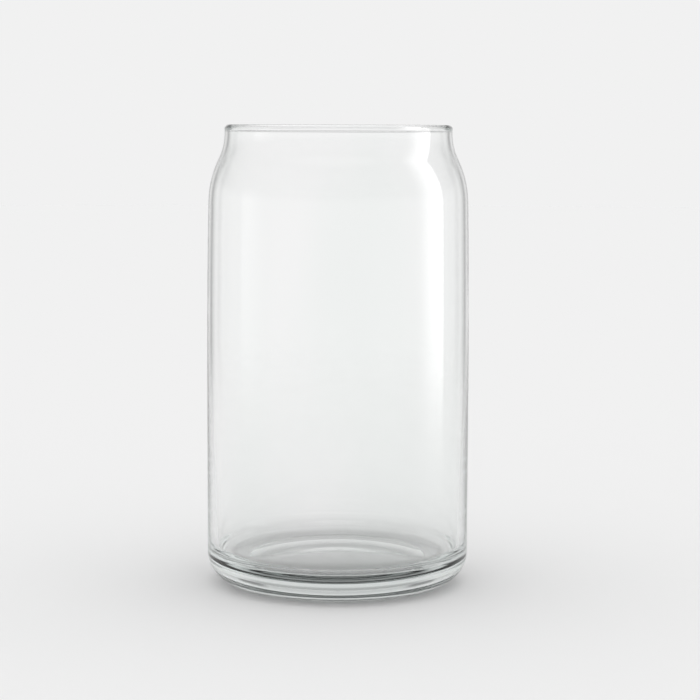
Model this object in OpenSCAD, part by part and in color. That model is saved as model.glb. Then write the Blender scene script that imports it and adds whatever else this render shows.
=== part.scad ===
// Straight sided drinking glass in the shape of a drinks can.
// It is blown in one piece: a thick foot with a hollow under it, a nearly straight body,
// a rounded shoulder, a short narrower neck and a fire polished lip round the mouth.
// The glass stands on the XY plane with its axis on Z.

/* [Body] */
// Outside diameter of the body
body_d = 76; // [73:0.5:84]
// Height from the table to the top of the rim
glass_h = 133; // [125:1:165]
// Wall of the body just above the floor
foot_wall = 2.8; // [2:0.1:3.4]
// Wall of the shoulder and the neck
neck_wall = 1.3; // [1:0.1:2]

/* [Shoulder and neck] */
// How far the neck stands in from the side of the body
neck_in = 5.25; // [2.5:0.25:8]
// Radius of the long faint curve that leads the body into the shoulder
swell_r = 2500; // [1500:100:2600]
// Angle through which this curve turns
swell_a = 1.2; // [0.6:0.1:1.4]
// Radius where the shoulder turns in over the body
shoulder_r = 29; // [20:1:40]
// Radius where the shoulder turns up into the neck
neck_r = 17; // [8:1:25]
// Straight length of neck below the lip
neck_h = 0.6; // [0.1:0.1:3]

/* [Rim] */
// How far the lip stands out from the neck
lip_out = 0.05; // [0.05:0.05:0.4]
// How far the lip stands in from the neck
lip_in = 0.5; // [0.1:0.05:0.8]
// Radius of the lip's inner side; its outer side takes the rest of its width
lip_in_r = 0.6; // [0.4:0.05:0.8]
// Radius that blends the lip into the wall, outside and inside
lip_blend_r = 1; // [0.5:0.1:2]

/* [Foot] */
// How far the flat ring that the glass stands on lies in from the side of the body
stand_in = 10.4; // [9:0.2:15]
// Width of the flat ring
stand_w = 1.6; // [1:0.1:3]
// Radius of the heel where it leaves the body
heel_side_r = 8.5; // [5:0.5:8.5]
// Angle that this radius turns through before the flatter underside takes over
heel_turn = 60; // [50:1:65]
// Depth of the hollow under the foot
punt_h = 3; // [1:0.5:5]
// Radius between the flat ring and the hollow
punt_edge_r = 3; // [1:0.5:5]

/* [Floor] */
// Height of the inside floor above the table, at its lowest ring
floor_h = 8.3; // [7:0.1:12]
// Rise of the inside floor from that ring to the axis
floor_rise = 0.4; // [0.2:0.1:1.5]
// Radius where the floor turns up into the wall
floor_edge_r = 4.5; // [2:0.5:8]

/* [Hidden] */

// Largest turn between two points of an arc, and the fewest steps in one
arc_step = 4;
arc_min_steps = 4;
turn_steps = 180;

body_r = body_d / 2;
neck_or = body_r - neck_in;
stand_r = body_r - stand_in;

// The lip's section is a wide arc outside and a tighter one inside, which meet at its top
lip_out_r = neck_wall + lip_out + lip_in - lip_in_r;
lip_out_c = [neck_or + lip_out - lip_out_r, glass_h - lip_out_r];
lip_in_c = [lip_out_c[0], glass_h - lip_in_r];
// Height where each blend radius leaves the wall
blend_out_z = lip_out_c[1] - blend_drop(lip_out_r, lip_out);
blend_in_z = lip_in_c[1] - blend_drop(lip_in_r, lip_in);
neck_z = min(blend_out_z, blend_in_z) - neck_h;

// The long curve brings the wall in a little, and the shoulder and neck radii bring it in by the rest
swell_in = swell_r * (1 - cos(swell_a));
shoulder_a = acos((shoulder_r * cos(swell_a) + neck_r + swell_in - neck_in) / (shoulder_r + neck_r));
neck_c = [neck_or + neck_r, neck_z];
shoulder_c = neck_c - (shoulder_r + neck_r) * [cos(shoulder_a), sin(shoulder_a)];
swell_c = shoulder_c - (swell_r - shoulder_r) * [cos(swell_a), sin(swell_a)];

// The heel is two arcs: a tight one off the side and a flatter one down to the standing ring
heel_under_r = heel_side_r + (stand_in - heel_side_r) / cos(heel_turn);
heel_under_c = [stand_r, heel_under_r];
heel_side_c = heel_under_c + (heel_under_r - heel_side_r) * [cos(heel_turn), -sin(heel_turn)];

// The hollow under the foot is a shallow dome that meets the ring's rounded inner edge
punt_edge_c = [stand_r - stand_w, punt_edge_r];
punt_r = dome_r(punt_edge_c[0], punt_edge_r, punt_h);
punt_a = dome_a(punt_edge_c[0], punt_edge_r, punt_r);

// The inside wall leans out by this much for each millimetre up, from the floor to the swell
lean = (foot_wall - neck_wall) / (swell_c[1] - floor_h);
floor_edge_c = [body_r - foot_wall + floor_edge_r * (lean - sqrt(1 + lean * lean)), floor_h + floor_edge_r];
floor_r = dome_r(floor_edge_c[0], floor_edge_r, floor_rise);
floor_a = dome_a(floor_edge_c[0], floor_edge_r, floor_r);

// Drop from the centre of a lip arc to the point where its blend radius leaves the wall
function blend_drop(r, proud) = sqrt(pow(lip_blend_r + r, 2) - pow(lip_blend_r + r - proud, 2));

// Angle below the horizontal at which a lip arc meets its blend radius
function blend_a(r, proud) = acos(1 - proud / (lip_blend_r + r));

// Radius of a shallow dome of a given rise that is tangent to a rounded edge
function dome_r(edge_x, edge_r, rise) = (edge_x * edge_x + rise * rise - 2 * edge_r * rise) / (2 * rise);

// Angle at which that dome and the rounded edge meet
function dome_a(edge_x, edge_r, r) = asin(edge_x / (r + edge_r));

// Points on an arc about c from angle a0 to a1, the first one included
function arc(c, r, a0, a1) =
    let (steps = max(arc_min_steps, ceil(abs(a1 - a0) / arc_step)))
    [for (i = [0 : steps]) c + r * [cos(a0 + (a1 - a0) * i / steps), sin(a0 + (a1 - a0) * i / steps)]];

// The same arc without its first point, for one that carries on from the arc before it
function arc_on(c, r, a0, a1) =
    let (points = arc(c, r, a0, a1))
    [for (i = [1 : len(points) - 1]) points[i]];

// Underside, from the axis across the hollow to the edge of the standing ring
function foot_outline() = concat(
    arc([0, punt_h - punt_r], punt_r, 90, 90 - punt_a),
    arc_on(punt_edge_c, punt_edge_r, -90 - punt_a, -90)
);

// Outside, from the standing ring up the heel, the body and the shoulder to the neck
function side_outline() = concat(
    arc(heel_under_c, heel_under_r, -90, -heel_turn),
    arc_on(heel_side_c, heel_side_r, -heel_turn, 0),
    arc(swell_c, swell_r, 0, swell_a),
    arc_on(shoulder_c, shoulder_r, swell_a, shoulder_a),
    arc_on(neck_c, neck_r, 180 + shoulder_a, 180)
);

// Rim, from the outside of the neck over the lip to the inside of the neck
function rim_outline() = concat(
    arc([neck_or + lip_blend_r, blend_out_z], lip_blend_r, 180, 180 - blend_a(lip_out_r, lip_out)),
    arc_on(lip_out_c, lip_out_r, -blend_a(lip_out_r, lip_out), 90),
    arc_on(lip_in_c, lip_in_r, 90, 180 + blend_a(lip_in_r, lip_in)),
    arc_on([neck_or - neck_wall - lip_blend_r, blend_in_z], lip_blend_r, blend_a(lip_in_r, lip_in), 0)
);

// Inside, from the neck down the shoulder and the wall to the middle of the floor
function inside_outline() = concat(
    arc(neck_c, neck_r + neck_wall, 180, 180 + shoulder_a),
    arc_on(shoulder_c, shoulder_r - neck_wall, shoulder_a, swell_a),
    arc_on(swell_c, swell_r - neck_wall, swell_a, 0),
    arc(floor_edge_c, floor_edge_r, -atan(lean), -90 - floor_a),
    arc_on([0, floor_h + floor_rise - floor_r], floor_r, 90 - floor_a, 90)
);

// The whole glass, turned from one closed section
module glass() {
    color([0.93, 0.96, 0.95, 0.45])
    rotate_extrude($fn = turn_steps)
    polygon(concat(foot_outline(), side_outline(), rim_outline(), inside_outline()));
}

glass();
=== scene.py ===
import math

import bpy
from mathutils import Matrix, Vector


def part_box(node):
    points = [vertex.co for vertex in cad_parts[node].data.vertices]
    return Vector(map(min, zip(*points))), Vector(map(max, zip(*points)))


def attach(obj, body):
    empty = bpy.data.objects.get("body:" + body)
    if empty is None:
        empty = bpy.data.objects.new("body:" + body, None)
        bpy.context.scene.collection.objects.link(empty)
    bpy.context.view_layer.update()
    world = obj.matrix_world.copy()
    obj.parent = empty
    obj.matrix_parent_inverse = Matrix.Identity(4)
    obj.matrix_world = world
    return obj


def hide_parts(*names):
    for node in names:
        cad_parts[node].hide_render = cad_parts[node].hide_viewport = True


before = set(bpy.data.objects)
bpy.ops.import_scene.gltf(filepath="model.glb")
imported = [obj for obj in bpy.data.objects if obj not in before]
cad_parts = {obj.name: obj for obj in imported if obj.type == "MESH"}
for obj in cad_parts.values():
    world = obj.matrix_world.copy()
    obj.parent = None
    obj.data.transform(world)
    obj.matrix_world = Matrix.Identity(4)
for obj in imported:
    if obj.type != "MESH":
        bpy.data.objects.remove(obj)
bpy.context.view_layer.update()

# The glass is blown and spun in one piece from clear colourless glass: a thick foot pushed up
# under its middle, a nearly straight wall that thins towards the top, a rounded shoulder and a
# short neck. Its cut rim is melted round in a flame, so the lip swells a little to the inside.

rim_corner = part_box("glass")[1]
body_r = rim_corner.x
glass_h = rim_corner.z

neck_in = 0.00525
swell_r = 2.5
swell_turn = 1.2
shoulder_r = 0.029
neck_r = 0.017
neck_wall = 0.0013
foot_wall = 0.0028
lip_out = 0.00005
lip_in = 0.0005
lip_in_r = 0.0006
lip_blend_r = 0.001
neck_straight = 0.0006
stand_in = 0.0104
stand_w = 0.0016
heel_side_r = 0.0085
heel_turn = 60
punt_h = 0.003
punt_edge_r = 0.003
floor_h = 0.0083
floor_rise = 0.0004
floor_edge_r = 0.0045

turned_steps = 288
straight_step = 0.003
soft_reach = 0.020

refraction = 1.52
grey_green = (0.62, 0.66, 0.65, 1)
grey_green_density = 12.0
clear = (1.0, 1.0, 1.0, 1)
least_clear = (0.975, 0.985, 0.98, 1)
drawn_waves = (30, 30, 9)
wave_depth = 0.0002
wave_strength = 0.35
wave_range = (0.35, 0.65)
touch_scale = 60.0
touch_range = (0.45, 0.8)
touch_roughness = 0.012


def arc(centre, radius, start, end, steps):
    """Points on an arc, angles in degrees from the outward direction, up being 90."""
    turns = [math.radians(start + (end - start) * i / steps) for i in range(steps + 1)]
    return [(centre[0] + radius * math.cos(t), centre[1] + radius * math.sin(t)) for t in turns]


def line(start, end):
    """Points along a straight wall, both ends left to the arcs that it joins."""
    steps = max(1, round(math.dist(start, end) / straight_step))
    return [tuple(a + (b - a) * i / steps for a, b in zip(start, end)) for i in range(1, steps)]


def dome(edge, edge_radius, rise):
    """Radius of a shallow dome tangent to a rounded edge, and the angle where they meet."""
    radius = (edge ** 2 + rise ** 2 - 2 * edge_radius * rise) / (2 * rise)
    return radius, math.degrees(math.asin(edge / (radius + edge_radius)))


def blend(radius, proud):
    """Turn and drop of the hollow that joins a lip of this radius to a wall it stands proud of."""
    reach = lip_blend_r + radius
    turn = math.acos(1 - proud / reach)
    return math.degrees(turn), reach * math.sin(turn)


def tapered_wall(swollen, lean, bottom):
    """Points down the inside from the shoulder to the floor's rounded edge, where its arc starts.

    The wall starts to thicken softly over a short length and then by the same lean all the way.
    """
    top = swollen[1] + swell_r * math.sin(math.radians(swell_turn))
    steps = round((top - bottom) / straight_step)
    points = []
    for i in range(1, steps):
        z = top + (bottom - top) * i / steps
        below = swollen[1] - z
        side = swollen[0] + math.sqrt(swell_r ** 2 - min(below, 0) ** 2)
        soft = max(0, min(below + soft_reach, 2 * soft_reach)) ** 2 / (4 * soft_reach)
        points.append((side - neck_wall - lean * max(soft, below), z))
    return points


def glass_section():
    """The wall's outline in radius and height, from under the axis round to the floor's middle."""
    neck_or = body_r - neck_in
    stand_r = body_r - stand_in
    lip_out_r = neck_wall + lip_out + lip_in - lip_in_r
    lip_out_c = (neck_or + lip_out - lip_out_r, glass_h - lip_out_r)
    lip_in_c = (lip_out_c[0], glass_h - lip_in_r)
    out_turn, out_drop = blend(lip_out_r, lip_out)
    in_turn, in_drop = blend(lip_in_r, lip_in)
    blend_out_z = lip_out_c[1] - out_drop
    blend_in_z = lip_in_c[1] - in_drop

    swell = math.radians(swell_turn)
    turned_in = neck_in - swell_r * (1 - math.cos(swell))
    turn = math.acos((shoulder_r * math.cos(swell) + neck_r - turned_in) / (shoulder_r + neck_r))
    shoulder_turn = math.degrees(turn)
    neck = (neck_or + neck_r, min(blend_out_z, blend_in_z) - neck_straight)
    gap = shoulder_r + neck_r
    shoulder = (neck[0] - gap * math.cos(turn), neck[1] - gap * math.sin(turn))
    gap = swell_r - shoulder_r
    swollen = (shoulder[0] - gap * math.cos(swell), shoulder[1] - gap * math.sin(swell))

    under_r = heel_side_r + (stand_in - heel_side_r) / math.cos(math.radians(heel_turn))
    gap = under_r - heel_side_r
    down = math.radians(heel_turn)
    heel = (stand_r + gap * math.cos(down), under_r - gap * math.sin(down))

    stand_inner = stand_r - stand_w
    punt_r, punt_turn = dome(stand_inner, punt_edge_r, punt_h)
    lean = (foot_wall - neck_wall) / (swollen[1] - floor_h)
    edge = (body_r - foot_wall + floor_edge_r * (lean - math.hypot(1, lean)), floor_h + floor_edge_r)
    floor_r, floor_turn = dome(edge[0], floor_edge_r, floor_rise)
    lean_turn = math.degrees(math.atan(lean))

    underside = arc((0, punt_h - punt_r), punt_r, 90, 90 - punt_turn, steps=12)
    underside += arc((stand_inner, punt_edge_r), punt_edge_r, -90 - punt_turn, -90, steps=6)[1:]
    outside = arc((stand_r, under_r), under_r, -90, -heel_turn, steps=14)
    outside += arc(heel, heel_side_r, -heel_turn, 0, steps=20)[1:]
    outside += line((body_r, heel[1]), (body_r, swollen[1]))
    outside += arc(swollen, swell_r, 0, swell_turn, steps=8)
    outside += arc(shoulder, shoulder_r, swell_turn, shoulder_turn, steps=14)[1:]
    outside += arc(neck, neck_r, 180 + shoulder_turn, 180, steps=14)[1:]
    rim = arc((neck_or + lip_blend_r, blend_out_z), lip_blend_r, 180, 180 - out_turn, steps=4)
    rim += arc(lip_out_c, lip_out_r, -out_turn, 90, steps=24)[1:]
    rim += arc(lip_in_c, lip_in_r, 90, 180 + in_turn, steps=20)[1:]
    rim += arc((neck_or - neck_wall - lip_blend_r, blend_in_z), lip_blend_r, in_turn, 0, steps=6)[1:]
    inside = arc(neck, neck_r + neck_wall, 180, 180 + shoulder_turn, steps=14)
    inside += arc(shoulder, shoulder_r - neck_wall, shoulder_turn, swell_turn, steps=14)[1:]
    inside += tapered_wall(swollen, lean, edge[1] - floor_edge_r * math.sin(math.radians(lean_turn)))
    inside += arc(edge, floor_edge_r, -lean_turn, -90 - floor_turn, steps=20)
    inside += arc((0, floor_h + floor_rise - floor_r), floor_r, 90 - floor_turn, 90, steps=10)[1:]
    return underside + outside + rim, inside


def turned(name, section):
    """A closed mesh of revolution whose section starts and ends on the axis."""
    angles = [2 * math.pi * i / turned_steps for i in range(turned_steps)]
    rings = section[1:-1]
    points = [(r * math.cos(a), r * math.sin(a), z) for r, z in rings for a in angles]
    last = len(rings) - 1
    faces = []
    for row in range(last):
        for i in range(turned_steps):
            a, b = row * turned_steps + i, row * turned_steps + (i + 1) % turned_steps
            faces.append((a, b, b + turned_steps, a + turned_steps))
    for tip, row in ((section[0], 0), (section[-1], last)):
        points.append((0, 0, tip[1]))
        for i in range(turned_steps):
            a, b = row * turned_steps + i, row * turned_steps + (i + 1) % turned_steps
            faces.append((a, len(points) - 1, b) if row == 0 else (a, b, len(points) - 1))
    mesh = bpy.data.meshes.new(name)
    mesh.from_pydata(points, [], faces)
    mesh.shade_smooth()
    mesh.validate()
    made = bpy.data.objects.new(name, mesh)
    bpy.context.scene.collection.objects.link(made)
    return made


class Wire:
    """A shader socket: arithmetic on it adds Math nodes, and node() adds any other node."""

    def __init__(self, tree, socket=None):
        self.tree = tree
        self.socket = socket

    def node(self, kind, sockets=(), settings=(), out=0):
        made = self.tree.nodes.new(kind)
        for name, value in dict(settings).items():
            setattr(made, name, value)
        for name, value in dict(sockets).items():
            if isinstance(value, Wire):
                self.tree.links.new(value.socket, made.inputs[name])
            else:
                made.inputs[name].default_value = value
        return Wire(self.tree, made.outputs[out] if made.outputs else None)

    def output(self, name):
        return Wire(self.tree, self.socket.node.outputs[name])

    def math(self, operation, *values):
        return self.node("ShaderNodeMath", enumerate(values), {"operation": operation})

    def ramp(self, low, high):
        """0 below low and 1 above high, with a smooth rise between."""
        sockets = {"Value": self, "From Min": low, "From Max": high}
        return self.node("ShaderNodeMapRange", sockets, {"interpolation_type": "SMOOTHSTEP"})

    def mixed(self, first, second):
        """A colour from first to second as this value goes from 0 to 1.

        The node has its sockets once for each kind of data: 6, 7 and output 2 are the colours.
        """
        sockets = {"Factor": self, 6: first, 7: second}
        return self.node("ShaderNodeMix", sockets, {"data_type": "RGBA"}, out=2)

    def __add__(self, other):
        return self.math("ADD", self, other)

    def __sub__(self, other):
        return self.math("SUBTRACT", self, other)

    def __rsub__(self, other):
        return self.math("SUBTRACT", other, self)

    def __mul__(self, other):
        return self.math("MULTIPLY", self, other)

    __radd__ = __add__
    __rmul__ = __mul__


def clear_glass():
    """Clear glass with the faint drift in thickness and polish that blowing leaves."""
    material = bpy.data.materials.new("clear_glass")
    material.use_nodes = True
    tree = material.node_tree
    tree.nodes.clear()
    start = Wire(tree)
    place = start.node("ShaderNodeTexCoord").output("Object")
    drawn = start.node("ShaderNodeMapping", {"Vector": place, "Scale": drawn_waves})
    waves = start.node("ShaderNodeTexNoise", {"Vector": drawn, "Scale": 1.0, "Detail": 1.5})
    touched = start.node("ShaderNodeTexNoise", {"Vector": place, "Scale": touch_scale, "Detail": 3.0})
    bump = {"Height": waves, "Strength": wave_strength, "Distance": wave_depth}
    shader = start.node("ShaderNodeBsdfPrincipled", {
        "Base Color": waves.ramp(*wave_range).mixed(clear, least_clear),
        "Roughness": touched.ramp(*touch_range) * touch_roughness,
        "Normal": start.node("ShaderNodeBump", bump),
        "IOR": refraction,
        "Transmission Weight": 1.0,
    })
    tinge = {"Color": grey_green, "Density": grey_green_density}
    body = start.node("ShaderNodeVolumeAbsorption", tinge)
    start.node("ShaderNodeOutputMaterial", {"Surface": shader, "Volume": body})
    return material


shell, hollow = glass_section()
glass = turned("can_glass", shell + hollow)
glass.data.materials.append(clear_glass())
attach(glass, "root")
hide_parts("glass")

# The table is a wide sheet of white paper under the glass. It is lit to the same white as the
# backdrop, so that the two meet without a line, and it takes the glass's soft shadow.

table_r = 3.0
table_sides = 180
table_top_z = -0.00005
paper_dark = (0.82, 0.82, 0.82, 1)
paper_light = (0.84, 0.84, 0.84, 1)
paper_grain = 4000.0
fade_range = (0.08, 0.60)


def table_paper():
    """White paper that gives way to the studio behind it where it is seen in or through glass.

    The fade is broken up by the grain of the paper, so that no edge shows where it starts.
    """
    material = bpy.data.materials.new("table_paper")
    material.use_nodes = True
    tree = material.node_tree
    tree.nodes.clear()
    start = Wire(tree)
    place = start.node("ShaderNodeNewGeometry").output("Position")
    length = {"operation": "LENGTH"}
    away = start.node("ShaderNodeVectorMath", {"Vector": place}, length, out="Value")
    seen = start.node("ShaderNodeLightPath").output("Is Camera Ray")
    grain = start.node("ShaderNodeTexNoise", {"Vector": place, "Scale": paper_grain, "Detail": 2.0})
    gone = (away + grain - 0.5).ramp(*fade_range) * (1 - seen)
    paper = start.node("ShaderNodeBsdfDiffuse", {"Color": grain.mixed(paper_dark, paper_light)})
    nothing = start.node("ShaderNodeBsdfTransparent")
    fade = start.node("ShaderNodeMixShader", {0: gone, 1: paper, 2: nothing})
    start.node("ShaderNodeOutputMaterial", {"Surface": fade})
    return material


bpy.ops.mesh.primitive_circle_add(
    vertices=table_sides, radius=table_r, fill_type="NGON", location=(0, 0, table_top_z))
table = bpy.context.object
table.name = "table_top"
table.data.materials.append(table_paper())

# The studio is a ring of tall white panels under a grey ceiling with a soft box in its middle. Two
# narrow gaps behind the glass and two before it draw its dark edges, and one tall strip light
# stands on the right. The camera sees an even white backdrop, and only the glass shows the rest.

# How bright each part is
backdrop_white = 0.88
panel_white = 0.93
gap_grey = 0.30
room_grey = 0.58
room_dark = 0.06
ceiling_grey = 0.35
soft_box = 0.90
strip_light = 3.3

# How much of the gaps' grey, and of the panels' white, each kind of reflection takes on
inner_shade = 0.30
inner_gap = 0.65
lip_shade = 0.60
mirrored_white = 0.70
inner_strip = 0.20

# Where each part fades in or out round the glass, in degrees: 0 towards the camera, 90 to a side
gap_from_side = 60
gap_half_width = (3.9, 9.4)
shade_behind = (120, 136)
lip_line_behind = (140, 157)
white_behind = (103, 136)
strip_left = (70, 97)
strip_right = (104, 106)

# The same up and down, as the sine of the angle above the horizon
gap_foot = (-0.34, -0.24)
gap_top = (0.02, 0.10)
shade_top = (0.06, 0.22)
lip_line_foot = (0.04, 0.08)
lip_line_top = (0.16, 0.26)
dark_foot = (0.04, 0.20)
white_top = (0.04, 0.28)
ceiling_edge = (0.60, 0.75)
box_edge = (0.62, 0.80)
strip_foot = (-0.30, 0.02)
strip_top = (0.70, 0.85)


def studio_world():
    """The plain backdrop for the camera, and what the glass shows of the room, by kind of ray."""
    world = bpy.data.worlds.new("studio")
    world.use_nodes = True
    tree = world.node_tree
    tree.nodes.clear()
    start = Wire(tree)
    way = start.node("ShaderNodeTexCoord").output("Generated")
    right = start.node("ShaderNodeSeparateXYZ", {"Vector": way})
    up = right.output("Z")
    turn = start.math("ARCTAN2", right, 0 - right.output("Y")) * (180 / math.pi)
    aside = start.math("ABSOLUTE", turn)

    path = start.node("ShaderNodeLightPath")
    seen = path.output("Is Camera Ray")
    looked = start.math("LESS_THAN", path.output("Diffuse Depth"), 0.5)
    through = path.output("Is Transmission Ray") * looked
    straight = through * start.math("LESS_THAN", path.output("Glossy Depth"), 0.5)
    inner = through - straight
    mirrored = path.output("Is Glossy Ray") * looked * (1 - through)

    off_gap = start.math("ABSOLUTE", start.math("ABSOLUTE", aside - 90) - gap_from_side)
    gap = 1 - off_gap.ramp(*gap_half_width)
    shade = inner * aside.ramp(*shade_behind) * (1 - up.ramp(*shade_top))
    gaps = straight * gap * (1 - up.ramp(*gap_top)) + shade * (inner_shade + gap * inner_gap)
    lip_line = straight * aside.ramp(*lip_line_behind) * up.ramp(*lip_line_foot)
    lip_line = lip_line * (1 - up.ramp(*lip_line_top))
    gaps = gaps * up.ramp(*gap_foot) + lip_line * lip_shade

    room_tone = room_grey - up.ramp(*dark_foot) * (room_grey - room_dark)
    whitened = aside.ramp(*white_behind) * (1 - up.ramp(*white_top)) * mirrored_white
    darkened = mirrored * (1 - whitened) * (panel_white - room_tone)
    ring = panel_white - gaps * (panel_white - gap_grey) - darkened
    ceiling = up.ramp(*ceiling_edge)
    box = up.ramp(*box_edge) * (1 - through)
    room = ring * (1 - ceiling) + ceiling * ceiling_grey + box * soft_box

    across = turn.ramp(*strip_left) * (1 - turn.ramp(*strip_right))
    along = up.ramp(*strip_foot) * (1 - up.ramp(*strip_top))
    strip = across * along * strip_light * (mirrored + inner * inner_strip)
    shown = seen * backdrop_white + (1 - seen) * (room + strip)
    sky = start.node("ShaderNodeBackground", {"Color": (1, 1, 1, 1), "Strength": shown})
    start.node("ShaderNodeOutputWorld", {"Surface": sky})
    return world


bpy.context.scene.world = studio_world()

# The camera stands level with the rim, so that the rim shows as a line, and looks a little down.
# Light turns many times in the thick foot before it leaves, so the bounces go well past the usual.

camera_away = 0.6
camera_right = 0.0035
camera_up = 0.1319
camera_down_turn = 6.09
camera_roll = 0.2
camera_lens = 106.7
camera_sensor = 36

camera_data = bpy.data.cameras.new("camera")
camera_data.lens = camera_lens
camera_data.sensor_width = camera_sensor
camera = bpy.data.objects.new("camera", camera_data)
camera.location = (camera_right, -camera_away, camera_up)
camera.rotation_mode = "ZXY"
camera.rotation_euler = (math.radians(90 - camera_down_turn), 0, math.radians(camera_roll))
bpy.context.scene.collection.objects.link(camera)
bpy.context.scene.camera = camera
bpy.context.scene.view_settings.view_transform = "Standard"

bounces = bpy.context.scene.cycles
bounces.max_bounces = 40
bounces.glossy_bounces = 32
bounces.transmission_bounces = 32
